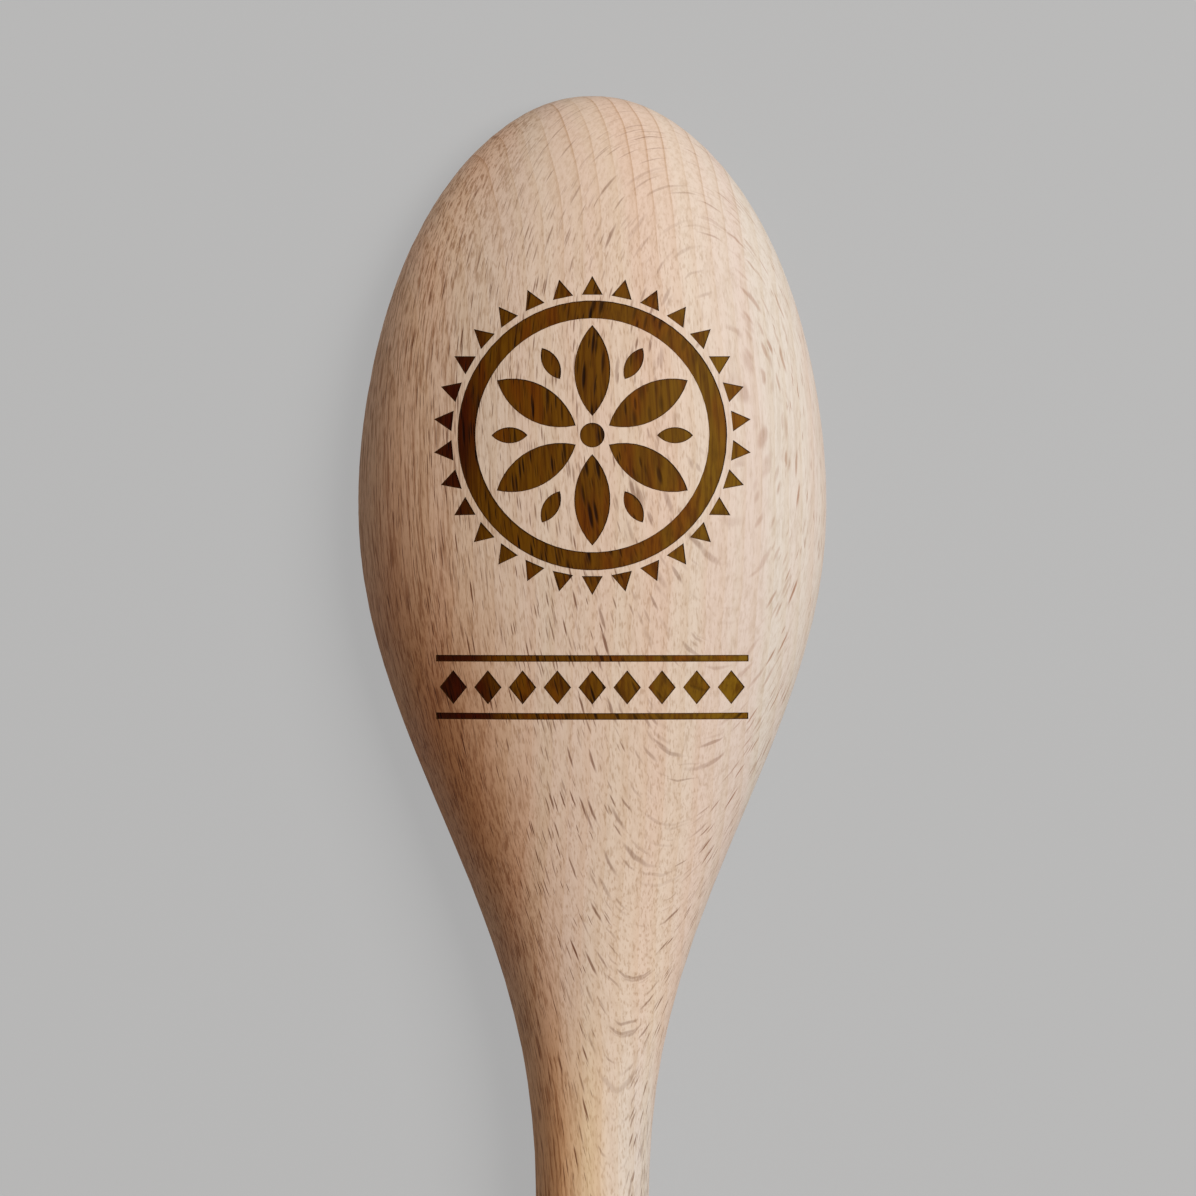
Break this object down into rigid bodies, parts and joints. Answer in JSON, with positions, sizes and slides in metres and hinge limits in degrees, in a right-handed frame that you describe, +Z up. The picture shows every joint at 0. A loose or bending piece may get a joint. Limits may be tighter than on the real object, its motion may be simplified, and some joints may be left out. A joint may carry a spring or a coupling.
{
  "type": "wooden spoon",
  "caption": "Cooking spoon carved from beech, with a flat-rimmed egg-shaped bowl, a round handle and a rosette and diamond border burnt into the back of the bowl.",
  "frame": {"origin": "bottom centre of the spoon's box, as it lies with the back of its bowl up; the flat rim is the plane Z = 0", "axes": "+Y along the handle towards the tip of the bowl, +Z up through the back of the bowl, +X to the right of the picture"},
  "size_m": [0.05, 0.3, 0.017],
  "materials": {
    "beech": "sanded and unvarnished, satin",
    "charred_beech": "laser-burnt, matte to satin"
  },
  "bodies": {
    "root": {"spoon": "beech", "burnt_flower": "charred_beech", "burnt_seeds": "charred_beech", "burnt_ring": "charred_beech", "burnt_teeth": "charred_beech", "burnt_border": "charred_beech"}
  },
  "joints": []
}
